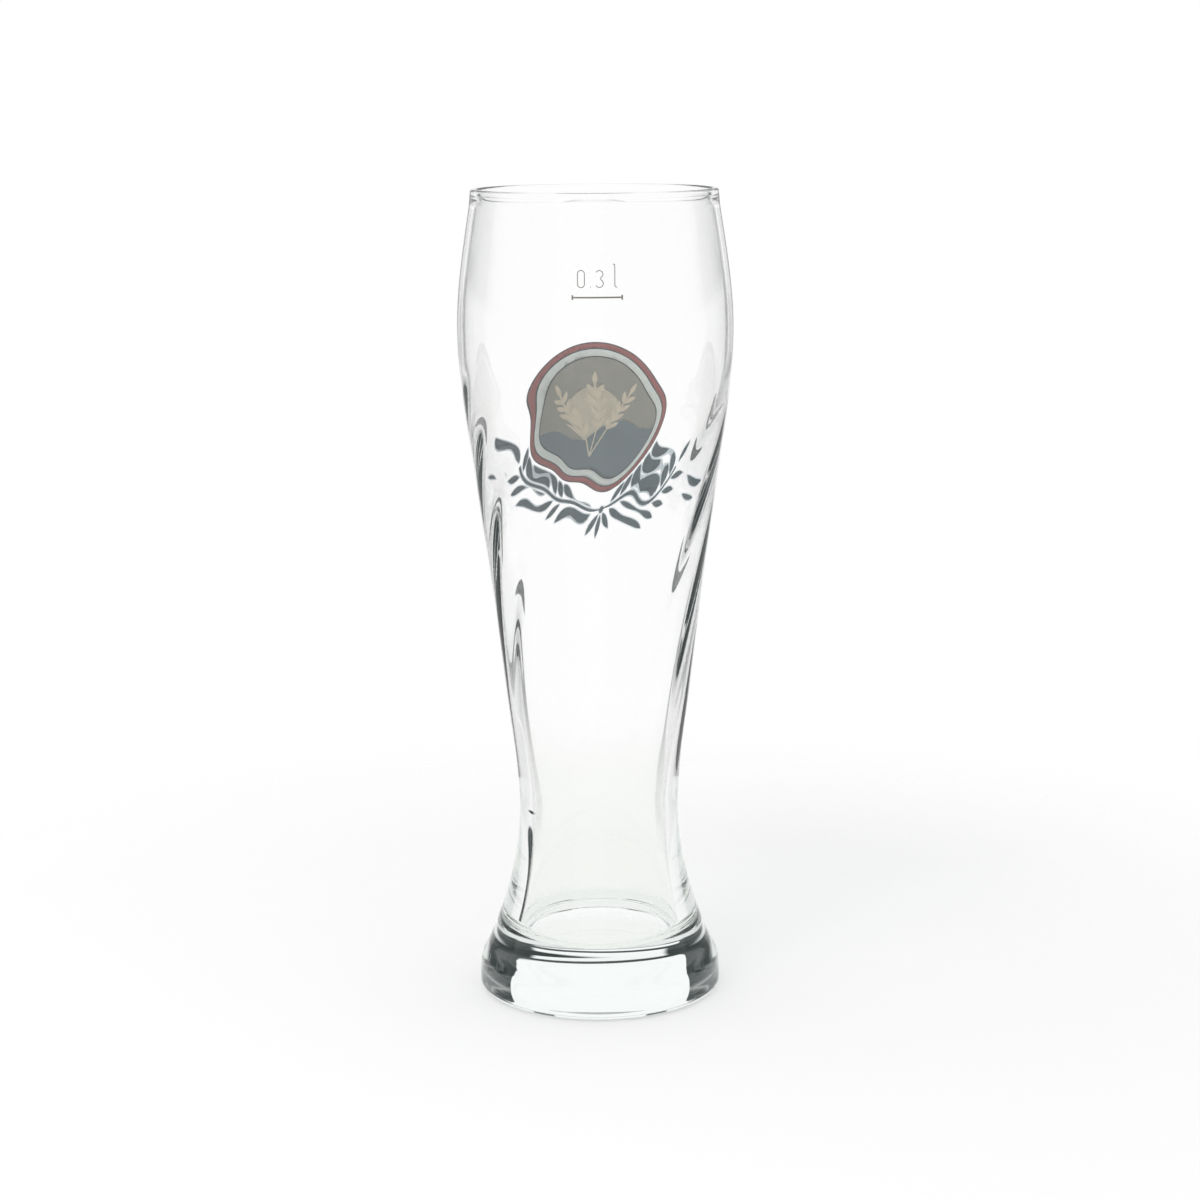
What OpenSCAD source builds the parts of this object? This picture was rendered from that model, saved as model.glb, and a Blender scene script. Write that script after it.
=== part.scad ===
// Wheat beer glass, 0.3 litre: one blown and footed glass with a twisted optic inside wall,
// and the ink films that are fired on its outside. Millimetres, +Z up, origin on the table
// under the middle of the foot. The front of the glass faces -Y.

/* [Glass outline] */
// Height from the table to the rim
glass_h = 199; // [188:1:225]
// Widest diameter of the foot
foot_d = 60.4; // [57:0.2:68]
// Rounding between the foot and the table
heel_r = 2.2; // [1:0.1:3.5]
// Diameter where the upright side of the foot ends
bend_d = 59.9; // [56:0.1:67]
// Height of that place
bend_z = 6.6; // [5:0.1:7.5]
// Diameter where the slope of the foot begins
slope_d = 58.8; // [55:0.1:66]
// Height of that place
slope_z = 8.6; // [8:0.1:10]
// Diameter halfway up the slope of the foot
flank_d = 53.8; // [48:0.1:56]
// Height of that slope
flank_z = 14; // [11:0.5:18]
// Diameter of the waist, the narrowest place
waist_d = 39.6; // [36:0.2:44]
// Height of the waist
waist_z = 47; // [42:0.5:54]
// Diameter low on the flare
flare_d = 45.4; // [42:0.2:49]
// Height of that place on the flare
flare_z = 76.5; // [70:0.5:84]
// Diameter at the shoulder, where the flare starts to round over
shoulder_d = 60.4; // [56:0.2:63]
// Height of the shoulder
shoulder_z = 134; // [126:0.5:142]
// Diameter of the belly, the widest place
belly_d = 66.8; // [64:0.2:72]
// Height of the belly
belly_z = 165.5; // [158:0.5:172]
// Outside diameter just under the rim
rim_d = 59.2; // [54:0.2:64]

/* [Walls] */
// Wall thickness at the belly and above
wall_top = 1.3; // [0.9:0.05:2]
// Wall thickness at the waist
wall_waist = 3.2; // [2:0.1:4.5]
// Height above which the wall is at its thinnest
wall_even_z = 152; // [130:1:165]
// Thickness of the fire polished rim
rim_t = 1.7; // [1.2:0.05:2.6]
// Height of the swelling that leads into the rim
rim_swell_h = 3; // [2:0.1:6]

/* [Solid foot] */
// Height of the cavity floor above the table
floor_z = 14; // [11:0.5:18]
// Depth of the dish in the cavity floor
floor_dish = 0.9; // [0.2:0.1:2]
// Widest diameter of the well at the bottom of the cavity
well_d = 40; // [37:0.2:42]
// Rounding between the well and the cavity floor
well_r = 3.5; // [2.5:0.1:6]
// Diameter of the hollow under the foot
punt_d = 48; // [36:0.5:53]
// Depth of the hollow under the foot
punt_h = 0.5; // [0.3:0.1:3]

/* [Optic ribs] */
// Number of twisted ribs on the inside wall
rib_count = 14; // [10:1:18]
// Depth from the top of a rib to the valley beside it
rib_depth = 0.32; // [0.1:0.02:0.6]
// Rise over which a rib would make one whole turn if it went on as it leans at the belly
rib_lead = 213; // [150:1:600]
// Angle of the first rib at the foot, from the right side of the glass towards its back
rib_turn = 2; // [0:0.5:25]
// Height at which the ribs begin
rib_start_z = 45; // [24:0.5:60]
// Height over which the ribs rise
rib_rise_h = 65; // [10:1:80]
// Height at which the ribs have faded out
rib_end_z = 163; // [140:1:168]
// Height over which the ribs fade
rib_fade_h = 30; // [8:1:40]

/* [Fill line] */
// Height of the fill line
fill_z = 175.5; // [168:0.5:182]
// Length of the fill line
fill_w = 11.8; // [8:0.2:20]
// How far the middle of the fill line lies to the right of the middle of the glass
fill_shift = 0.5; // [-2:0.1:2]
// Stroke of the fill line
fill_t = 0.36; // [0.2:0.02:0.8]
// Height of the tick at each end of the fill line
tick_h = 1.1; // [0.6:0.1:2]

/* [Badge] */
// Height of the middle of the badge
badge_z = 140.5; // [134:0.5:144]
// Outside diameter of the badge
badge_d = 37; // [30:0.5:38]
// Width of the dark lines that edge the border
key_line_w = 0.3; // [0.2:0.05:0.6]
// Width of the red border
border_w = 1.2; // [0.8:0.1:2]
// Width of the silver band
band_w = 1.7; // [1:0.1:3]
// Diameter of the sun
sun_d = 14; // [8:0.5:16]
// Height of the hills above the middle of the badge, below it where negative
hill_top = -3.5; // [-6:0.5:0]
// Length of one grain in the ears
grain_l = 3.7; // [3:0.1:4.4]
// Width of one grain in the ears
grain_w = 1.3; // [0.9:0.05:1.4]

/* [Wreath] */
// Diameter of the circle on which the stems of the wreath lie
wreath_d = 47; // [44:0.5:48]
// Length of one leaf
leaf_l = 6.4; // [5:0.1:7]
// Width of one leaf
leaf_w = 1.9; // [1.3:0.1:2]
// Number of leaf pairs on each side
leaf_pairs = 5; // [3:1:5]
// Gap between the middle of a stem and the foot of a leaf
leaf_gap = 1.6; // [1.3:0.1:2]
// Width of the stems
stem_w = 0.7; // [0.4:0.1:1.2]
// Width of the pale edge around the leaves
halo_w = 0.25; // [0.15:0.05:0.3]

/* [Hidden] */

// Thickness of a fired ink film
ink_t = 0.12;
// Length by which every cutting shape runs past what it cuts
overrun = 5;
// Width of the flat land on top of the rim
rim_land = 0.3;
// Lean of the outline at its stations, as radius gained for each unit of height
foot_lean_share = -0.02;
bend_lean_share = -0.09;
slope_lean_share = -0.43;
flank_lean_share = -0.41;
flare_lean_share = 0.115;
shoulder_lean_share = 0.142;
rim_lean_share = -0.15;

// Steps of the facets: along the outline, round each rib, and across the floor
outline_steps = 48;
cavity_steps = 46;
steps_per_rib = 6;
arc_steps = 5;
floor_steps = 3;
round_sides = 96;
small_sides = 32;

// Angles of the ears, of the leaves against their stem, and of the wreath's ends
ear_lean = 29;
grain_splay = 34;
leaf_splay = 40;
wreath_first = 7;
wreath_last = 60;
ear_grain_pairs = 4;

// How flat the hollow under the foot is: 2 makes it a dish
punt_power = 6;

// Proportions inside the badge
hill_r_share = 1.5;
hill_shift_share = 0.35;
hill_step_share = 0.05;
sun_rise_share = 0.25;
grain_pitch_share = 0.72;
ear_foot_share = 0.78;
ear_stalk_share = 1.28;
stalk_share = 0.4;
stalk_tuck_share = 0.25;

// Places worked out from the sizes above
foot_top_z = heel_r;
rim_round = (rim_t - rim_land) / 2;
rim_base_z = glass_h - rim_round;
rim_mid_r = rim_d / 2 - wall_top / 2;
waist_in_r = waist_d / 2 - wall_waist;
well_top_z = floor_z + well_r;
floor_flat_r = well_d / 2 - well_r;
columns = rib_count * steps_per_rib;
badge_r = badge_d / 2;
border_r = badge_r - key_line_w;
band_r = border_r - border_w - key_line_w;
field_r = band_r - band_w - key_line_w;
hill_r = badge_r * hill_r_share;
hill_step = hill_r * hill_step_share;
grain_pitch = grain_l * grain_pitch_share;
ear_top_l = grain_pitch * ear_grain_pairs;
ear_stalk_l = field_r * ear_stalk_share;
wreath_reach = wreath_d / 2 + leaf_gap + leaf_l + halo_w;

// Stations of the outline: height, radius and lean
stations = [
    [foot_top_z, foot_d / 2, foot_lean_share],
    [bend_z, bend_d / 2, bend_lean_share],
    [slope_z, slope_d / 2, slope_lean_share],
    [flank_z, flank_d / 2, flank_lean_share],
    [waist_z, waist_d / 2, 0],
    [flare_z, flare_d / 2, flare_lean_share],
    [shoulder_z, shoulder_d / 2, shoulder_lean_share],
    [belly_z, belly_d / 2, 0],
    [rim_base_z, rim_d / 2, rim_lean_share]];

function limit(x) = max(0, min(1, x));
function ease(x) = limit(x) * limit(x) * (3 - 2 * limit(x));

// One smooth span between two stations
function span_r(z, low, high) =
    let (rise = high[0] - low[0], t = (z - low[0]) / rise)
    (1 + 2 * t) * (1 - t) * (1 - t) * low[1] + t * (1 - t) * (1 - t) * rise * low[2]
    + t * t * (3 - 2 * t) * high[1] + t * t * (t - 1) * rise * high[2];

// Radius of the smooth outline at a height between the heel and the rim
function curve_r(z, i = 0) =
    i >= len(stations) - 2 || z <= stations[i + 1][0]
    ? span_r(z, stations[i], stations[i + 1])
    : curve_r(z, i + 1);

// How far the wall swells on each side as it comes up to the rim
function swell(z) = (rim_t - wall_top) / 2 * ease((z - rim_base_z + rim_swell_h) / rim_swell_h);

function outside_r(z) = curve_r(z) + swell(z);

// The wall thins evenly from the waist upwards
function wall(z) =
    wall_top + (wall_waist - wall_top) * pow(1 - limit((z - waist_z) / (wall_even_z - waist_z)), 2);

// Radius of the inside wall without its ribs. Below the waist it opens into the well.
function inside_r(z) =
    z < waist_z
    ? waist_in_r + (well_d / 2 - waist_in_r) * pow((waist_z - z) / (waist_z - well_top_z), 2)
    : curve_r(z) - wall(z) - swell(z);

// How strongly the ribs stand at a height
function rib_strength(z) =
    ease((z - rib_start_z) / rib_rise_h) * ease((rib_end_z - z) / rib_fade_h);

// Angle of the first rib at a height. It leaves the foot straight and leans more and more upwards.
function rib_angle(z) = rib_turn + 360 * pow(z / belly_z, 2) * z / (3 * rib_lead);

// Height of one row of the outline
row_h = (rim_base_z - foot_top_z) / outline_steps;
function row_z(i) = foot_top_z + row_h * i;

// Outline of the outside from the heel up to the land of the rim, as [radius, height]
outside_points = concat(
    [for (i = [0:arc_steps - 1]) let (a = 90 * i / arc_steps)
        [foot_d / 2 - heel_r + heel_r * sin(a), heel_r - heel_r * cos(a)]],
    [for (i = [0:outline_steps]) [outside_r(row_z(i)), row_z(i)]],
    [for (i = [1:arc_steps]) let (a = 90 * i / arc_steps)
        [rim_mid_r + rim_land / 2 + rim_round * cos(a), rim_base_z + rim_round * sin(a)]]);

// The hollow under the foot is nearly flat and falls off towards its edge
punt_points = [for (i = [0:arc_steps]) let (x = i / arc_steps)
    [punt_d / 2 * x, punt_h * (1 - pow(x, punt_power))]];

// Rings of the cavity from the floor up, as [radius, height, rib depth]
cavity_rings = concat(
    [for (i = [1:floor_steps]) let (x = i / floor_steps)
        [floor_flat_r * x, floor_z - floor_dish * (1 - x * x), 0]],
    [for (i = [1:arc_steps - 1]) let (a = 90 * i / arc_steps)
        [floor_flat_r + well_r * sin(a), well_top_z - well_r * cos(a), 0]],
    [for (i = [0:cavity_steps]) let (z = well_top_z + (rim_base_z - well_top_z) * i / cavity_steps)
        [inside_r(z), z, rib_depth / 2 * rib_strength(z)]],
    [for (i = [1:arc_steps - 1]) let (a = 90 * i / arc_steps)
        [inside_r(rim_base_z) + rim_round * (1 - cos(a)), rim_base_z + rim_round * sin(a), 0]],
    [for (z = [glass_h, glass_h + overrun]) [inside_r(rim_base_z) + rim_round, z, 0]]);

// One ring of points, turned with the twist of the ribs
function ring_points(ring) =
    [for (j = [0:columns - 1])
        let (a = 360 * j / columns + rib_angle(ring[1]),
            r = ring[0] + ring[2] * cos(360 * j / steps_per_rib))
        [r * cos(a), r * sin(a), ring[1]]];

// The inside of the glass as one closed solid, which the outside is hollowed with
module cavity() {
    rings = len(cavity_rings);
    points = concat(
        [[0, 0, floor_z - floor_dish]],
        [for (ring = cavity_rings) each ring_points(ring)],
        [[0, 0, glass_h + overrun]]);
    function at(i, j) = 1 + i * columns + j % columns;
    faces = concat(
        [for (j = [0:columns - 1]) [0, at(0, j), at(0, j + 1)]],
        [for (i = [0:rings - 2], j = [0:columns - 1]) each [
            [at(i, j), at(i + 1, j), at(i, j + 1)],
            [at(i, j + 1), at(i + 1, j), at(i + 1, j + 1)]]],
        [for (j = [0:columns - 1]) [at(rings - 1, j), len(points) - 1, at(rings - 1, j + 1)]]);
    polyhedron(points, faces);
}

module glass_body() {
    color([0.86, 0.9, 0.88, 0.35])
    difference() {
        rotate_extrude($fn = round_sides)
            polygon(concat(punt_points, outside_points, [[0, glass_h]]));
        cavity();
    }
}

// A ring of ink film on the rows of the outline that reach from one height to another
module film(low_z, high_z) {
    first = floor((low_z - foot_top_z) / row_h);
    last = ceil((high_z - foot_top_z) / row_h);
    rotate_extrude($fn = round_sides)
        polygon(concat(
            [for (i = [first:last]) [outside_r(row_z(i)), row_z(i)]],
            [for (i = [last:-1:first]) [outside_r(row_z(i)) + ink_t, row_z(i)]]));
}

// What an outline covers of the film on the front of the glass, over a height to each side of z
module front_print(z, reach) {
    intersection() {
        film(z - reach, z + reach);
        rotate([90, 0, 0])
            linear_extrude(belly_d)
                translate([0, z])
                    children();
    }
}

// The same on the far side of the glass
module back_print(z, reach) {
    intersection() {
        film(z - reach, z + reach);
        translate([0, belly_d, 0])
            rotate([90, 0, 0])
                linear_extrude(belly_d)
                    translate([0, z])
                        children();
    }
}

module fill_line() {
    color([0.45, 0.43, 0.42])
    front_print(fill_z, tick_h) {
        translate([fill_shift, 0]) {
            square([fill_w, fill_t], center = true);
            for (side = [-1, 1])
                translate([side * (fill_w - fill_t) / 2, 0])
                    square([fill_t, tick_h], center = true);
        }
    }
}

// A flat ring inside a radius
module ring(outer_r, width) {
    difference() {
        circle(outer_r, $fn = round_sides);
        circle(outer_r - width, $fn = round_sides);
    }
}

// A grain or leaf with a point at each end, from the origin along X, grown all round
module petal(length, width, grow = 0) {
    bow_r = (length * length + width * width) / (4 * width);
    intersection_for (side = [-1, 1])
        translate([length / 2, side * (bow_r - width / 2)])
            circle(bow_r + grow, $fn = round_sides);
}

module badge_key_lines() {
    color([0.2, 0.25, 0.26])
    back_print(badge_z, badge_r) {
        ring(badge_r, key_line_w);
        ring(band_r + key_line_w, key_line_w);
        ring(field_r + key_line_w, key_line_w);
    }
}

module badge_border() {
    color([0.6, 0.32, 0.3])
    back_print(badge_z, badge_r)
        ring(border_r, border_w);
}

module badge_band() {
    color([0.78, 0.81, 0.79])
    back_print(badge_z, badge_r)
        ring(band_r, band_w);
}

// Two round hills that cross behind the ears
module hills_outline() {
    intersection() {
        circle(field_r, $fn = round_sides);
        for (side = [-1, 1])
            translate([side * hill_shift_share * hill_r, hill_top - hill_r + side * hill_step])
                circle(hill_r, $fn = round_sides);
    }
}

// One ear, upright on its stalk from the origin
module ear_outline() {
    stalk_w = grain_w * stalk_share;
    translate([-stalk_w / 2, 0])
        square([stalk_w, ear_stalk_l + grain_l * stalk_tuck_share]);
    for (i = [0:ear_grain_pairs - 1], side = [-1, 1])
        translate([0, ear_stalk_l - ear_top_l + grain_pitch * i])
            rotate(90 + side * grain_splay)
                petal(grain_l, grain_w);
    translate([0, ear_stalk_l - ear_top_l + grain_pitch * ear_grain_pairs])
        rotate(90)
            petal(grain_l, grain_w);
}

module ears_outline() {
    intersection() {
        circle(field_r, $fn = round_sides);
        translate([0, -ear_foot_share * field_r])
            for (lean = [-ear_lean, 0, ear_lean])
                rotate(lean)
                    ear_outline();
    }
}

module sun_outline() {
    translate([0, hill_top + sun_d * sun_rise_share])
        circle(sun_d / 2, $fn = round_sides);
}

module badge_sky() {
    color([0.53, 0.51, 0.49])
    back_print(badge_z, badge_r)
        difference() {
            circle(field_r, $fn = round_sides);
            hills_outline();
            sun_outline();
            ears_outline();
        }
}

module badge_sun() {
    color([0.72, 0.69, 0.64])
    back_print(badge_z, badge_r)
        difference() {
            sun_outline();
            hills_outline();
            ears_outline();
        }
}

module badge_hills() {
    color([0.37, 0.43, 0.48])
    back_print(badge_z, badge_r)
        difference() {
            hills_outline();
            ears_outline();
        }
}

module badge_ears() {
    color([0.8, 0.76, 0.68])
    back_print(badge_z, badge_r)
        ears_outline();
}

// The wreath: two leafy stems round the lower half of the badge, tied at the bottom.
// Angles are measured from the bottom. Grown all round for its pale edge.
module wreath_outline(grow = 0) {
    stem_r = wreath_d / 2;
    far = wreath_d;
    intersection() {
        ring(stem_r + stem_w / 2 + grow, stem_w + 2 * grow);
        polygon([[0, 0], for (side = [-1, 1]) [side * far * sin(wreath_last), -far * cos(wreath_last)]]);
    }
    for (side = [-1, 1]) {
        for (i = [0:leaf_pairs - 1], turn = [-1, 1])
            stem_leaf(side, wreath_first + (wreath_last - wreath_first) * i / leaf_pairs, turn, grow);
        stem_leaf(side, wreath_last, 0, grow);
    }
    translate([0, -stem_r]) {
        circle(leaf_w / 2 + grow, $fn = small_sides);
        for (turn = [-1, 0, 1])
            rotate(-90 + turn * leaf_splay)
                translate([leaf_gap, 0])
                    petal(leaf_l, leaf_w, grow);
    }
}

// One leaf at an angle along a stem, turned in, out or straight on
module stem_leaf(side, along, turn, grow) {
    rotate(side * along - 90)
        translate([wreath_d / 2, 0])
            rotate(side * 90 + turn * leaf_splay)
                translate([leaf_gap, 0])
                    petal(leaf_l, leaf_w, grow);
}

module wreath_leaves() {
    color([0.28, 0.36, 0.38])
    back_print(badge_z, wreath_reach)
        wreath_outline();
}

module wreath_halo() {
    color([0.88, 0.92, 0.94])
    back_print(badge_z, wreath_reach)
        difference() {
            wreath_outline(halo_w);
            wreath_outline();
        }
}

glass_body();
fill_line();
badge_key_lines();
badge_border();
badge_band();
badge_sky();
badge_sun();
badge_hills();
badge_ears();
wreath_leaves();
wreath_halo();
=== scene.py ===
"""Weizen glass, 0.3 litre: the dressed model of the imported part.

Metres, +Z up, the middle of the foot on the origin, the front of the glass towards -Y.
Sizes that repeat the CAD source are written in millimetres and brought to metres by MM.
"""
import math
from types import SimpleNamespace

import bmesh
import bpy
import numpy as np
from mathutils import Matrix, Vector


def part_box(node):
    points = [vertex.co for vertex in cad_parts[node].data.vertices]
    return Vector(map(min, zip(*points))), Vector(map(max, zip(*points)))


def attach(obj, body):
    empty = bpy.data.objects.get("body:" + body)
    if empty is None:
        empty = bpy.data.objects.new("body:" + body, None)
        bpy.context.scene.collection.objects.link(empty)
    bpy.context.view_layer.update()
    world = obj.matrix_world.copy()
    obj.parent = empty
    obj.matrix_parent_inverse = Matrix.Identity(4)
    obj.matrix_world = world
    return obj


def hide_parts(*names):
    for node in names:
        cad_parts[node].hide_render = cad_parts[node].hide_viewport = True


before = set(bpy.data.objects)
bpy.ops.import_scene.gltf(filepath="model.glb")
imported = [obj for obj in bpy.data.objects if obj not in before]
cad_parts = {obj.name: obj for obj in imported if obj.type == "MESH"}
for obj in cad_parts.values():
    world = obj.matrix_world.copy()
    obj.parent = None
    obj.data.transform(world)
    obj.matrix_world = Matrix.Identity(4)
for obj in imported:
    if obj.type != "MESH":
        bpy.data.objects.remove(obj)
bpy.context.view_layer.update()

MM = 0.001
# Degrees in a radian
DEGREES = 180 / math.pi
scene = bpy.context.scene

# Sizes of the glass, as in the CAD source
GLASS_H = 199 * MM
FOOT_D, HEEL_R = 60.4 * MM, 2.2 * MM
BEND_D, BEND_Z = 59.9 * MM, 6.6 * MM
SLOPE_D, SLOPE_Z = 58.8 * MM, 8.6 * MM
FLANK_D, FLANK_Z = 53.8 * MM, 14 * MM
WAIST_D, WAIST_Z = 39.6 * MM, 47 * MM
FLARE_D, FLARE_Z = 45.4 * MM, 76.5 * MM
SHOULDER_D, SHOULDER_Z = 60.4 * MM, 134 * MM
BELLY_D, BELLY_Z = 66.8 * MM, 165.5 * MM
RIM_D = 59.2 * MM
WALL_TOP, WALL_WAIST, WALL_EVEN_Z = 1.3 * MM, 3.2 * MM, 152 * MM
RIM_T, RIM_LAND, RIM_SWELL_H = 1.7 * MM, 0.3 * MM, 3 * MM
FLOOR_Z, FLOOR_DISH = 14 * MM, 0.9 * MM
WELL_D, WELL_R = 40 * MM, 3.5 * MM
PUNT_D, PUNT_H, PUNT_POWER = 48 * MM, 0.5 * MM, 6
RIB_COUNT, RIB_DEPTH = 14, 0.32 * MM
RIB_START_Z, RIB_RISE_H = 45 * MM, 65 * MM
RIB_END_Z, RIB_FADE_H = 163 * MM, 30 * MM
RIB_LEAD, RIB_TURN = 213 * MM, math.radians(2)
FILL_Z, FILL_SHIFT = 175.5 * MM, 0.5 * MM
INK_T = 0.12 * MM

# How much the radius grows with the height at each station of the outline
FOOT_LEAN, BEND_LEAN, SLOPE_LEAN, FLANK_LEAN = -0.02, -0.09, -0.43, -0.41
FLARE_LEAN, SHOULDER_LEAN, RIM_LEAN = 0.115, 0.142, -0.15

RIM_ROUND = (RIM_T - RIM_LAND) / 2
RIM_BASE_Z = GLASS_H - RIM_ROUND
RIM_MID_R = RIM_D / 2 - WALL_TOP / 2
WAIST_IN_R = WAIST_D / 2 - WALL_WAIST
WELL_TOP_Z = FLOOR_Z + WELL_R
FLOOR_FLAT_R = WELL_D / 2 - WELL_R

# Stations of the outline: height, radius and lean
STATIONS = np.array([
    [HEEL_R, FOOT_D / 2, FOOT_LEAN],
    [BEND_Z, BEND_D / 2, BEND_LEAN],
    [SLOPE_Z, SLOPE_D / 2, SLOPE_LEAN],
    [FLANK_Z, FLANK_D / 2, FLANK_LEAN],
    [WAIST_Z, WAIST_D / 2, 0],
    [FLARE_Z, FLARE_D / 2, FLARE_LEAN],
    [SHOULDER_Z, SHOULDER_D / 2, SHOULDER_LEAN],
    [BELLY_Z, BELLY_D / 2, 0],
    [RIM_BASE_Z, RIM_D / 2, RIM_LEAN],
])


def ease(x):
    """A smooth way from 0 to 1, flat at both ends."""
    x = np.clip(x, 0, 1)
    return x * x * (3 - 2 * x)


def curve_r(z):
    """Radius of the smooth outline at heights between the heel and the rim."""
    z = np.asarray(z, float)
    i = np.clip(np.searchsorted(STATIONS[:, 0], z) - 1, 0, len(STATIONS) - 2)
    low, high = STATIONS[i], STATIONS[i + 1]
    rise = high[..., 0] - low[..., 0]
    t = (z - low[..., 0]) / rise
    return (
        (1 + 2 * t) * (1 - t) ** 2 * low[..., 1] + t * (1 - t) ** 2 * rise * low[..., 2]
        + t * t * (3 - 2 * t) * high[..., 1] + t * t * (t - 1) * rise * high[..., 2]
    )


def swell(z):
    """How far the wall swells on each side as it comes up to the rim."""
    return (RIM_T - WALL_TOP) / 2 * ease((z - RIM_BASE_Z + RIM_SWELL_H) / RIM_SWELL_H)


def outside_r(z):
    """Radius of the outside wall, from the heel to where the rim rounds."""
    return curve_r(z) + swell(z)


def inside_r(z):
    """Radius of the inside wall without its ribs. Below the waist it opens into the well."""
    z = np.asarray(z, float)
    thin = 1 - np.clip((z - WAIST_Z) / (WALL_EVEN_Z - WAIST_Z), 0, 1)
    wall = WALL_TOP + (WALL_WAIST - WALL_TOP) * thin ** 2
    down = np.clip((WAIST_Z - z) / (WAIST_Z - WELL_TOP_Z), 0, None)
    well = WAIST_IN_R + (WELL_D / 2 - WAIST_IN_R) * down ** 2
    return np.where(z < WAIST_Z, well, curve_r(z) - wall - swell(z))


def rib_strength(z):
    """How far the ribs have risen at a height, from 0 to 1."""
    return ease((z - RIB_START_Z) / RIB_RISE_H) * ease((RIB_END_Z - z) / RIB_FADE_H)


def rib_angle(z):
    """Angle of the first rib. It leaves the foot straight and leans more and more upwards."""
    return RIB_TURN + 2 * math.pi * z ** 3 / (3 * RIB_LEAD * BELLY_Z ** 2)


# The mesh of the glass: its columns, and the rings of each stretch of its outline
RIB_COLUMNS = 16
COLUMNS = RIB_COLUMNS * RIB_COUNT
PUNT_STEPS, HEEL_STEPS, OUTSIDE_STEPS = 14, 12, 152
LIP_STEPS, INSIDE_STEPS, WELL_STEPS, FLOOR_STEPS = 8, 206, 12, 14
# First and last ring of the hollow under the foot, and last ring of the floor, as shares
PUNT_FIRST_SHARE, PUNT_LAST_SHARE, FLOOR_LAST_SHARE = 0.05, 0.985, 0.06
# How the hollow runs out onto the ring that the glass stands on: way past its edge, and height
PUNT_EDGE = np.array([[0.02, 0.012], [0.35, 0], [0.8, 0]]) * MM


def quarter(steps, first=0, last=90):
    """Angles round a quarter turn, in radians. first and last are in degrees."""
    return np.radians(np.linspace(first, last, steps))


def glass_rings():
    """Radius, height and rib depth of each ring, from the middle of the underside round."""
    rings = []

    def run(radius, height, rib=0.0):
        for r, z, d in np.broadcast(radius, height, rib):
            rings.append((float(r), float(z), float(d)))

    x = np.linspace(PUNT_FIRST_SHARE, PUNT_LAST_SHARE, PUNT_STEPS)
    run(PUNT_D / 2 * x, PUNT_H * (1 - x ** PUNT_POWER))
    run(PUNT_D / 2 + PUNT_EDGE[:, 0], PUNT_EDGE[:, 1])
    a = quarter(HEEL_STEPS)
    run(FOOT_D / 2 - HEEL_R + HEEL_R * np.sin(a), HEEL_R - HEEL_R * np.cos(a))
    z = np.linspace(HEEL_R, RIM_BASE_Z, OUTSIDE_STEPS)[1:]
    run(outside_r(z), z)
    a = quarter(LIP_STEPS)[1:]
    run(RIM_MID_R + RIM_LAND / 2 + RIM_ROUND * np.cos(a), RIM_BASE_Z + RIM_ROUND * np.sin(a))
    lip_in = float(inside_r(RIM_BASE_Z))
    a = quarter(LIP_STEPS, 90, 0)
    run(lip_in + RIM_ROUND * (1 - np.cos(a)), RIM_BASE_Z + RIM_ROUND * np.sin(a))
    z = np.linspace(RIM_BASE_Z, WELL_TOP_Z, INSIDE_STEPS)[1:]
    run(inside_r(z), z, RIB_DEPTH / 2 * rib_strength(z))
    a = quarter(WELL_STEPS, 90, 0)[1:]
    run(FLOOR_FLAT_R + WELL_R * np.sin(a), WELL_TOP_Z - WELL_R * np.cos(a))
    x = np.linspace(1, FLOOR_LAST_SHARE, FLOOR_STEPS)[1:]
    run(FLOOR_FLAT_R * x, FLOOR_Z - FLOOR_DISH * (1 - x * x))
    return np.array(rings)


def glass_mesh():
    rings = glass_rings()
    turn = np.arange(COLUMNS) * 2 * math.pi / COLUMNS
    r, z, rib = (rings[:, k, None] for k in range(3))
    r = r + rib * np.cos(RIB_COUNT * (turn[None] - rib_angle(z)))
    grid = np.stack([r * np.cos(turn), r * np.sin(turn), z + 0 * turn], axis=2).reshape(-1, 3)
    verts = np.vstack([[0, 0, PUNT_H], grid, [0, 0, FLOOR_Z - FLOOR_DISH]])
    last = len(verts) - 1

    def at(i, j):
        return 1 + i * COLUMNS + j % COLUMNS

    count = len(rings)
    faces = [(0, at(0, j + 1), at(0, j)) for j in range(COLUMNS)]
    faces += [(at(i, j), at(i, j + 1), at(i + 1, j + 1), at(i + 1, j))
              for i in range(count - 1) for j in range(COLUMNS)]
    faces += [(at(count - 1, j), at(count - 1, j + 1), last) for j in range(COLUMNS)]
    mesh = bpy.data.meshes.new("blown_glass")
    mesh.from_pydata(verts.tolist(), [], faces)
    mesh.polygons.foreach_set("use_smooth", [True] * len(mesh.polygons))
    return mesh


def show(name, mesh, material, slot, *nodes):
    """Puts a mesh in the scene as a piece that rides on the part's one body."""
    piece = bpy.data.objects.new(name, mesh)
    mesh.materials.append(material)
    scene.collection.objects.link(piece)
    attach(piece, "root")
    if nodes:
        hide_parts(*nodes)


# The films lie in the glass by a hair, because fired ink has no air under it
INK_SUNK, INK_PROUD = 0.02 * MM, 0.05 * MM
# Films are cut into slices of this width, so that they follow the round of the glass
SLICE = 1.3 * MM
# How near to a cut a point counts as on it, and how near to each other points are joined
CUT_REACH = 0.001 * MM
FILM_WELD, NUMERAL_WELD = 0.002 * MM, 0.001 * MM
SHARP_EDGE = math.radians(35)


def ink_r(base, share):
    """Radius inside a film on glass of radius base. share is 0 at its back and 1 at its face."""
    return base - INK_SUNK + (INK_SUNK + INK_PROUD) * share


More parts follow.
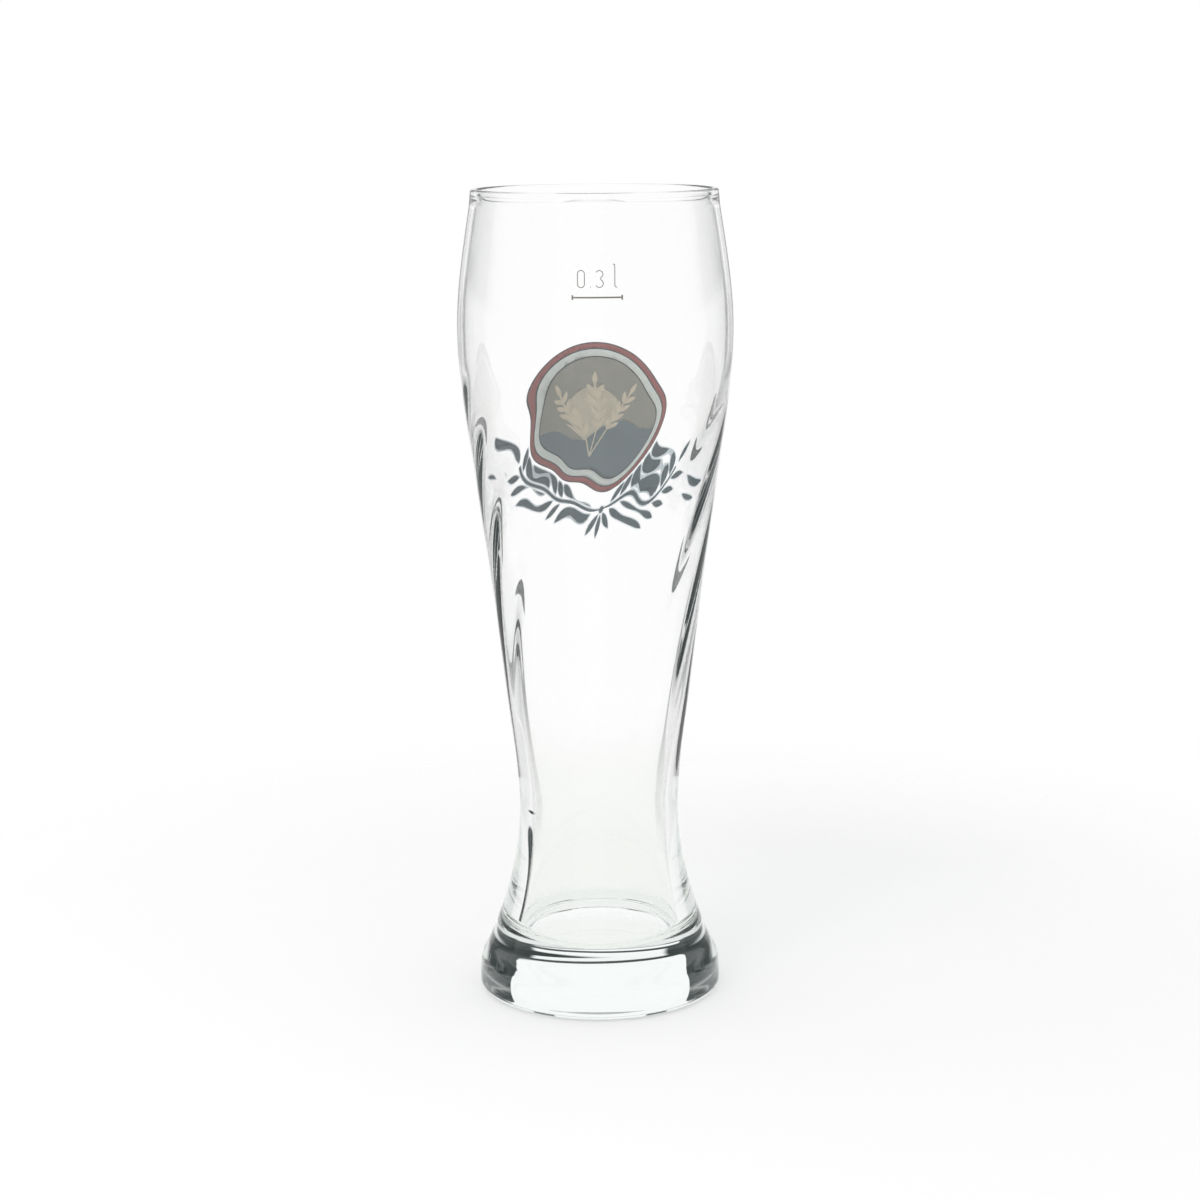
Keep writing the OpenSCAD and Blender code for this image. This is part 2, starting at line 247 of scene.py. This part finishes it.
def settle(bm):
    """Lays a film of the CAD model on the smooth outside, and thins it as fired ink is thin."""
    for v in bm.verts:
        around = math.hypot(v.co.x, v.co.y)
        base = float(outside_r(v.co.z))
        share = min(1, max(0, (around - base) / INK_T))
        radius = ink_r(base, share)
        v.co.x *= radius / around
        v.co.y *= radius / around


def film_mesh(node):
    """A film of the CAD model, cut fine across and up, and laid on the glass."""
    bm = bmesh.new()
    bm.from_mesh(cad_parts[node].data)
    bmesh.ops.remove_doubles(bm, verts=bm.verts[:], dist=FILM_WELD)
    low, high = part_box(node)
    for axis in (0, 2):
        way = Vector([float(axis == k) for k in range(3)])
        for place in np.arange(low[axis] + SLICE / 2, high[axis], SLICE):
            bmesh.ops.bisect_plane(
                bm, geom=bm.verts[:] + bm.edges[:] + bm.faces[:], dist=CUT_REACH,
                plane_co=way * float(place), plane_no=way)
    settle(bm)
    bmesh.ops.triangulate(bm, faces=bm.faces[:])
    return finish_film(bm, node)


def finish_film(bm, name):
    """The mesh of a film, shaded smooth but for its edges."""
    mesh = bpy.data.meshes.new(name)
    bm.to_mesh(mesh)
    bm.free()
    mesh.polygons.foreach_set("use_smooth", [True] * len(mesh.polygons))
    mesh.set_sharp_from_angle(angle=SHARP_EDGE)
    return mesh


# The capacity numerals, drawn in millimetres from the middle of the fill line
STROKE_W = 0.2 * MM
STROKE_FACETS = 3
POINT_R = 0.03


def curl(mid_x, mid_z, radius_x, radius_z, first, last, steps=16):
    """Points on part of an oval. Angles run from the right, upwards."""
    return [(mid_x + radius_x * math.cos(a), mid_z + radius_z * math.sin(a))
            for a in np.radians(np.linspace(first, last, steps))]


# Each stroke of the numerals, and whether it closes on itself
NUMERAL_STROKES = [
    # nought
    (curl(-3.72, 5.35, 0.8, 0.8, 0, 180) + curl(-3.72, 3.05, 0.8, 0.8, 180, 360), True),
    # point
    (curl(-1.5, 2.42, POINT_R, POINT_R, 0, 360, steps=9)[:-1], True),
    # three
    (curl(0.5, 5.28, 0.82, 0.82, 150, -62) + [(0.72, 4.26)], False),
    ([(0.72, 4.26)] + curl(0.5, 3.18, 0.9, 0.9, 62, -152), False),
    # litre
    ([(3.62, 7.52), (3.96, 7.46), (4.06, 7.2), (4.06, 5.5), (4.06, 2.9)]
     + curl(4.66, 2.86, 0.6, 0.6, 180, 262, steps=8), False),
]


def laid_on_front(curve_object):
    """The mesh of a curve drawn in X and Z, laid on the front with its depth as ink."""
    mesh = bpy.data.meshes.new_from_object(
        curve_object, depsgraph=bpy.context.evaluated_depsgraph_get())
    bm = bmesh.new()
    bm.from_mesh(mesh)
    for v in bm.verts:
        x, depth, z = v.co
        base = float(outside_r(z))
        radius = ink_r(base, 0.5 - depth / STROKE_W)
        v.co.x, v.co.y = radius * math.sin(x / base), -radius * math.cos(x / base)
    bmesh.ops.remove_doubles(bm, verts=bm.verts[:], dist=NUMERAL_WELD)
    bpy.data.meshes.remove(mesh)
    return finish_film(bm, "capacity_numerals")


def numeral_mesh():
    """The strokes of the numerals as round cords, laid on the glass as one film."""
    curve = bpy.data.curves.new("numeral_strokes", "CURVE")
    curve.dimensions = "3D"
    curve.bevel_depth = STROKE_W / 2
    curve.bevel_resolution = STROKE_FACETS
    curve.use_fill_caps = True
    for points, closed in NUMERAL_STROKES:
        spline = curve.splines.new("POLY")
        spline.points.add(len(points) - 1)
        for point, (x, z) in zip(spline.points, points):
            point.co = (FILL_SHIFT + x * MM, 0, FILL_Z + z * MM, 1)
        spline.use_cyclic_u = closed
    holder = bpy.data.objects.new("numeral_strokes", curve)
    scene.collection.objects.link(holder)
    bpy.context.view_layer.update()
    mesh = laid_on_front(holder)
    bpy.data.objects.remove(holder)
    return mesh


class Wire:
    """A node's output. Arithmetic on wires and numbers adds its Math nodes."""

    def __init__(self, nodes, socket):
        self.nodes, self.socket = nodes, socket

    def __add__(self, other):
        return self.nodes.work("ADD", self, other)

    def __sub__(self, other):
        return self.nodes.work("SUBTRACT", self, other)

    def __rsub__(self, other):
        return self.nodes.work("SUBTRACT", other, self)

    def __mul__(self, other):
        return self.nodes.work("MULTIPLY", self, other)

    def __truediv__(self, other):
        return self.nodes.work("DIVIDE", self, other)

    def __rtruediv__(self, other):
        return self.nodes.work("DIVIDE", other, self)

    __radd__, __rmul__ = __add__, __mul__


class Nodes:
    """The node tree of a material or a world, emptied."""

    def __init__(self, owner):
        owner.use_nodes = True
        self.tree = owner.node_tree
        self.tree.nodes.clear()

    def add(self, kind, settings=(), sockets=(), output=0):
        """A node of a kind, its settings set first, then the values or wires of its sockets."""
        node = self.tree.nodes.new("ShaderNode" + kind)
        for key, value in dict(settings).items():
            setattr(node, key, value)
        named = sockets.items() if isinstance(sockets, dict) else enumerate(sockets)
        for key, value in named:
            if isinstance(value, Wire):
                self.tree.links.new(value.socket, node.inputs[key])
            else:
                node.inputs[key].default_value = value
        return Wire(self, node.outputs[output]) if node.outputs else node

    def work(self, operation, *values):
        """A Math node on wires and numbers."""
        return self.add("Math", {"operation": operation}, values)

    def most(self, one, two):
        """The greater of two."""
        return self.work("MAXIMUM", one, two)

    def length(self, one, two):
        """Length of a line that goes one to the side and two upwards."""
        return self.work("SQRT", one * one + two * two)

    def at_least(self, value, count):
        """1 where a whole number is a count or more, and else 0."""
        return self.work("GREATER_THAN", value, count - 0.5)

    def step(self, value, low, high):
        """0 below low, 1 above high, smooth between."""
        return self.add("MapRange", {"interpolation_type": "SMOOTHSTEP"},
                        {"Value": value, "From Min": low, "From Max": high})

    def band(self, value, low, high, soft):
        """1 between low and high, 0 outside, with edges that are soft to each side."""
        rising = self.step(value, low - soft, low + soft)
        return rising * (1 - self.step(value, high - soft, high + soft))

    def mix(self, factor, one, two):
        """A colour between two colours."""
        return self.add("Mix", {"data_type": "RGBA"}, {0: factor, 6: one, 7: two}, output=2)

    def noise(self, scale, detail):
        """Noise on the object's own coordinates, from 0 to 1. scale is in waves a metre."""
        place = self.add("TexCoord", output="Object")
        return self.add("TexNoise", {}, {"Vector": place, "Scale": scale, "Detail": detail})

    def journey(self):
        """How often a ray crossed the glass's surface, and how often it was mirrored."""
        crossings = self.add("LightPath", output="Transmission Depth")
        return crossings, self.add("LightPath", output="Ray Depth") - crossings


def rgba(red, green, blue):
    """A colour given as it looks on a screen, from 0 to 255."""
    def linear(c):
        c /= 255
        return c / 12.92 if c <= 0.04045 else ((c + 0.055) / 1.055) ** 2.4
    return (linear(red), linear(green), linear(blue), 1.0)


# Waves a metre of the faint ripple in blown glass, and its green in depth and in its shadow
GLASS_WAVES = 38
GLASS_GREEN = (0.74, 0.89, 0.835, 1)
SHADOW_TINT = (0.93, 0.95, 0.945, 1)


def clear_glass():
    """Clear glass with a faint ripple. Light falls through it with little shadow."""
    material = bpy.data.materials.new("clear_glass")
    n = Nodes(material)
    ripple = n.noise(GLASS_WAVES, detail=1.0)
    bump = n.add("Bump", {}, {"Strength": 0.05, "Distance": 0.3 * MM, "Height": ripple})
    glass = n.add("BsdfPrincipled", {}, {
        "Base Color": (1, 1, 1, 1), "Roughness": 0.0, "IOR": 1.52,
        "Transmission Weight": 1.0, "Normal": bump})
    lit = n.add("BsdfTransparent", {}, {"Color": SHADOW_TINT})
    shadow = n.add("LightPath", output="Is Shadow Ray")
    surface = n.add("MixShader", {}, [shadow, glass, lit])
    tint = n.add("VolumeAbsorption", {}, {"Color": GLASS_GREEN, "Density": 4.0})
    n.add("OutputMaterial", {}, {"Surface": surface, "Volume": tint})
    return material


# Waves a metre of the clouds and the grain in fired ink, and how much they change its colour
CLOUD_WAVES, GRAIN_WAVES = 420, 5200
CLOUD_SHARE = 0.7
MOTTLE = 0.08
MOTTLE_RANGE = (0.3, 0.7)
INK_ROUGHNESS, ROUGHNESS_SPREAD = 0.38, 0.08


def fired_ink(name, colour, metallic=0.0, roughness=INK_ROUGHNESS):
    """Screen printed ink that was fired on: even colour with faint clouds and a fine grain."""
    material = bpy.data.materials.new(name)
    n = Nodes(material)
    clouds = n.noise(CLOUD_WAVES, detail=3.0)
    grain = n.noise(GRAIN_WAVES, detail=2.0)
    shade = clouds * CLOUD_SHARE + grain * (1 - CLOUD_SHARE)
    dark = tuple(c * (1 - MOTTLE) for c in colour[:3]) + (1.0,)
    pale = tuple(min(1, c * (1 + MOTTLE)) for c in colour[:3]) + (1.0,)
    bump = n.add("Bump", {}, {"Strength": 0.25, "Distance": 0.01 * MM, "Height": grain})
    ink = n.add("BsdfPrincipled", {}, {
        "Base Color": n.mix(n.step(shade, *MOTTLE_RANGE), dark, pale),
        "Roughness": clouds * (2 * ROUGHNESS_SPREAD) + (roughness - ROUGHNESS_SPREAD),
        "Metallic": metallic, "Normal": bump})
    n.add("OutputMaterial", {}, {"Surface": ink})
    return material


# The ink of each film: the record's slot, the colour and what differs from plain ink
INKS = {
    "fill_line": ("ink_grey", rgba(124, 118, 114), {}),
    "badge_key_lines": ("ink_dark", rgba(48, 58, 60), {}),
    "badge_border": ("ink_red", rgba(156, 78, 74), {}),
    "badge_band": ("ink_silver", rgba(222, 227, 222), {"metallic": 0.15, "roughness": 0.34}),
    "badge_sky": ("ink_taupe", rgba(150, 147, 138), {}),
    "badge_sun": ("ink_straw", rgba(198, 190, 170), {}),
    "badge_hills": ("ink_slate", rgba(104, 118, 124), {}),
    "badge_ears": ("ink_beige", rgba(212, 200, 178), {}),
    "wreath_leaves": ("ink_teal", rgba(62, 84, 90), {}),
    "wreath_halo": ("ink_pale", rgba(226, 236, 242), {}),
}

CAMERA_PLACE = Vector((0, -629.1, 223.2)) * MM
CAMERA_PITCH, CAMERA_YAW, CAMERA_ROLL = (math.radians(a) for a in (11.21, 0.06, 0.41))
LENS, SENSOR_W = 77.98, 36
NEAR_CLIP = 0.01


def aim_camera():
    camera = bpy.data.objects.new("camera", bpy.data.cameras.new("camera"))
    camera.data.lens, camera.data.sensor_width = LENS, SENSOR_W
    camera.data.clip_start = NEAR_CLIP
    ahead = Vector((math.sin(CAMERA_YAW) * math.cos(CAMERA_PITCH),
                    math.cos(CAMERA_YAW) * math.cos(CAMERA_PITCH), -math.sin(CAMERA_PITCH)))
    level = Vector((math.cos(CAMERA_YAW), -math.sin(CAMERA_YAW), 0))
    upright = level.cross(ahead)
    right = level * math.cos(CAMERA_ROLL) - upright * math.sin(CAMERA_ROLL)
    up = upright * math.cos(CAMERA_ROLL) + level * math.sin(CAMERA_ROLL)
    turned = Matrix((right, up, -ahead)).transposed().to_4x4()
    camera.matrix_world = Matrix.Translation(CAMERA_PLACE) @ turned
    scene.collection.objects.link(camera)
    scene.camera = camera


# The colour of the dark cards round the glass, and how far back a way points to be behind it
CARD_DARK = rgba(30, 42, 42)
BEHIND_STEP = (0.0, 0.3)

# The places of the cards, in degrees. Turn is the angle off straight back or straight front,
# to either side. Heading is the angle off straight back and ahead the one off straight front,
# both to the right. Rise is the angle above level. Three numbers are a band: from, to and
# softness. Two are a step: from and to.

# Cards at both sides of the clear view
SIDE_TURN, SIDE_RISE = (15.5, 24, 0.6), (-40, 6, 3)

# The white panel that shows in the foot, its rounded corners, its tilt and the strip over it.
# Height is the rise once the tilt is taken out.
PANEL_TURN, PANEL_HEIGHT = 31.5, 17
PANEL_CORNER, PANEL_FOOT = (3.7, 4.3), (2, 5)
PANEL_TILT = 2.3
STRIP_HEIGHT, STRIP_TURN = (23.2, 26, 0.3), (24, 28)
# The paler light far to the sides, and the one overhead
PALE_TURN, PALE_RISE, PALE_SHARE = (66, 76), (2, 6), 0.35
OVERHEAD_RISE, OVERHEAD_SHARE = (27, 29), 0.85

# Cards that are met by way of one mirroring in the wall: over level, at it, and a small oval
# wedge, whose edge is in shares of its reaches
RAISED_RISE = (5, 9)
LEVEL_RISE, LEVEL_TURN = (0, 8, 1.5), (34, 42)
WEDGE_HEADING, WEDGE_HEADING_REACH = -50, 12
WEDGE_RISE, WEDGE_RISE_REACH = -18, 1
WEDGE_EDGE = (0.85, 1.15)

# Cards that are met by way of two or more mirrorings, with the light between them
OFTEN_RISE, OFTEN_GAP = (-42, -38), (24, 27, 0.6)

# Cards that are mirrored on the outside of the glass, and the softbox that they leave in front
OUTSIDE_TURN, OUTSIDE_NEAR, OUTSIDE_RISE = (19, 60, 4), (9, 18, 4), (-9, -3)
OUTSIDE_LOW_TURN, OUTSIDE_LOW_RISE, OUTSIDE_LOW_SLOPE = (26, 78, 4), (-12, -9), 0.28
SOFTBOX_AHEAD = (-34, 7, 1.5)
OUTSIDE_SHARE, FRONT_SHARE = 0.6, 0.3

# How bright the backdrop is for the surfaces that it lights
ROOM_LIGHT = 0.8


def look_directions(n):
    """The way that a ray goes, as wires with the names of the cards' places."""
    way = n.add("TexCoord", output="Generated")
    x, y, z = (n.add("SeparateXYZ", {}, [way], output=k) for k in range(3))
    sideways, lengthways = n.work("ABSOLUTE", x), n.work("ABSOLUTE", y)
    return SimpleNamespace(
        x=x,
        heading=n.work("ARCTAN2", x, y) * DEGREES,
        ahead=n.work("ARCTAN2", x, y * -1) * DEGREES,
        turn=n.work("ARCTAN2", sideways, lengthways) * DEGREES,
        rise=n.work("ARCSINE", z) * DEGREES,
        behind=n.step(y, *BEHIND_STEP))


def clear_views(n, to):
    """What stays white for mirrored rays: the panel, the strip over it, far sides, overhead."""
    height = to.rise + to.x * PANEL_TILT
    corner = n.length(n.most(to.turn - PANEL_TURN, 0), n.most(height - PANEL_HEIGHT, 0))
    panel = (1 - n.step(corner, *PANEL_CORNER)) * n.step(to.rise, *PANEL_FOOT)
    strip = n.band(height, *STRIP_HEIGHT) * (1 - n.step(to.turn, *STRIP_TURN))
    pale = n.step(to.turn, *PALE_TURN) * n.step(to.rise, *PALE_RISE) * PALE_SHARE
    overhead = n.step(to.rise, *OVERHEAD_RISE) * OVERHEAD_SHARE
    return n.most(n.most(panel, n.most(strip, pale)), overhead)


def once_cards(n, to, clear):
    """Cards for rays that were mirrored once in the wall."""
    raised = n.step(to.rise, *RAISED_RISE) * (1 - clear) * to.behind
    level = n.band(to.rise, *LEVEL_RISE) * n.step(to.turn, *LEVEL_TURN) * to.behind
    off_middle = n.length((to.heading - WEDGE_HEADING) / WEDGE_HEADING_REACH,
                          (to.rise - WEDGE_RISE) / WEDGE_RISE_REACH)
    wedge = 1 - n.step(off_middle, *WEDGE_EDGE)
    return n.most(raised, n.most(level, wedge))


def outside_cards(n, to):
    """Cards for rays that were mirrored on the outside of the glass."""
    above = n.step(to.rise, *OUTSIDE_RISE)
    wide = n.band(to.turn, *OUTSIDE_TURN) * (1 - above)
    near = n.band(to.turn, *OUTSIDE_NEAR) * above
    under = 1 - n.step(to.rise - to.turn * OUTSIDE_LOW_SLOPE, *OUTSIDE_LOW_RISE)
    low = n.band(to.turn, *OUTSIDE_LOW_TURN) * under
    back = n.most(n.most(wide, near), low) * to.behind
    front = (1 - to.behind) * (1 - n.band(to.ahead, *SOFTBOX_AHEAD)) * FRONT_SHARE
    return (back + front) * OUTSIDE_SHARE


def hang_backdrop():
    """White all round. Glass also meets dark cards beside the clear views, which draw its edges."""
    world = bpy.data.worlds.new("studio")
    scene.world = world
    n = Nodes(world)
    to = look_directions(n)
    crossings, mirrored = n.journey()
    # The backdrop counts as one more bounce than a surface does
    mirrored = mirrored - 1
    crossed = n.at_least(crossings, 1)
    inside = n.at_least(mirrored, 1) * crossed
    clear = clear_views(n, to)
    once = once_cards(n, to, clear) * (1 - n.at_least(crossings, 3))
    often = n.at_least(mirrored, 2) * n.step(to.rise, *OFTEN_RISE) * (1 - clear)
    often = often * (1 - n.band(to.turn, *OFTEN_GAP))
    beside = n.band(to.turn, *SIDE_TURN) * n.band(to.rise, *SIDE_RISE)
    card = (inside * n.most(once, often) + (1 - inside) * crossed * beside
            + (1 - crossed) * outside_cards(n, to))

    camera = n.add("LightPath", output="Is Camera Ray")
    glossy = n.add("LightPath", output="Is Glossy Ray")
    through = n.add("LightPath", output="Is Transmission Ray")
    by_glass = n.most(glossy, through)
    colour = n.mix(card * by_glass, (1, 1, 1, 1), CARD_DARK)
    seen = n.most(camera, by_glass)
    light = n.add("Background", {}, {
        "Color": colour, "Strength": ROOM_LIGHT + seen * (1 - ROOM_LIGHT)})
    n.add("OutputWorld", {}, {"Surface": light})


# The disc that the glass stands on, a hair under the foot, and how far out it fades
TABLE_R, TABLE_DROP, TABLE_SIDES = 0.3, 0.05 * MM, 96
TABLE_FADE, TABLE_FADE_IN_GLASS = (0.1, 0.28), (0.035, 0.05)
TABLE_PALE, TABLE_GLOW, TABLE_GLOW_SHARE = (0.97, 0.97, 0.97, 1), rgba(244, 246, 242), 0.9


def lay_floor():
    """A pale disc that fades into the backdrop."""
    bm = bmesh.new()
    bmesh.ops.create_circle(bm, cap_ends=True, segments=TABLE_SIDES, radius=TABLE_R)
    for v in bm.verts:
        v.co.z = -TABLE_DROP
    mesh = bpy.data.meshes.new("floor")
    bm.to_mesh(mesh)
    bm.free()
    floor = bpy.data.objects.new("floor", mesh)
    scene.collection.objects.link(floor)
    material = bpy.data.materials.new("floor")
    n = Nodes(material)
    place = n.add("TexCoord", output="Object")
    away = n.add("VectorMath", {"operation": "LENGTH"}, [place], output="Value")
    pale = n.add("BsdfDiffuse", {}, {"Color": TABLE_PALE})
    gone = n.add("BsdfTransparent")
    # Rays that were mirrored in the wall pass the disc sooner, on to the backdrop
    crossings, mirrored = n.journey()
    inside = n.at_least(mirrored, 1) * n.at_least(crossings, 1)
    fade = n.most(n.step(away, *TABLE_FADE), inside * n.step(away, *TABLE_FADE_IN_GLASS))
    through = n.add("LightPath", output="Is Transmission Ray")
    glow = n.add("Emission", {}, {"Color": TABLE_GLOW})
    seen = n.add("MixShader", {}, [through * TABLE_GLOW_SHARE, pale, glow])
    n.add("OutputMaterial", {}, {"Surface": n.add("MixShader", {}, [fade, seen, gone])})
    mesh.materials.append(material)


# Lamps look at the middle of the glass, halfway up
LAMP_AIM = Vector((0, 0, 0.1))


def hang_lamp(name, place, size, power):
    """A round lamp that lights surfaces and isn't seen in the glass."""
    lamp = bpy.data.lights.new(name, "AREA")
    lamp.shape, lamp.size, lamp.energy = "DISK", size, power
    holder = bpy.data.objects.new(name, lamp)
    holder.location = place
    holder.rotation_euler = (LAMP_AIM - Vector(place)).to_track_quat("-Z", "Y").to_euler()
    holder.visible_glossy = holder.visible_transmission = holder.visible_camera = False
    scene.collection.objects.link(holder)


# A ray may cross and be mirrored many times in the wall before it leaves it
WALL_BOUNCES, SURFACE_BOUNCES = 32, 16


def set_up_studio():
    scene.view_settings.view_transform = "Standard"
    scene.cycles.max_bounces = WALL_BOUNCES
    scene.cycles.transmission_bounces = WALL_BOUNCES
    scene.cycles.glossy_bounces = SURFACE_BOUNCES
    scene.cycles.transparent_max_bounces = SURFACE_BOUNCES
    hang_backdrop()
    lay_floor()
    hang_lamp("key_softbox", place=(-0.55, -0.7, 0.95), size=0.7, power=5.5)


def main():
    aim_camera()
    set_up_studio()
    show("blown_glass", glass_mesh(), clear_glass(), "clear_glass", "glass_body")
    inks = {}
    for node, (slot, colour, finish) in INKS.items():
        inks[slot] = fired_ink(slot, colour, **finish)
        show("print_" + node, film_mesh(node), inks[slot], slot, node)
    show("capacity_numerals", numeral_mesh(), inks["ink_grey"], "ink_grey")


main()
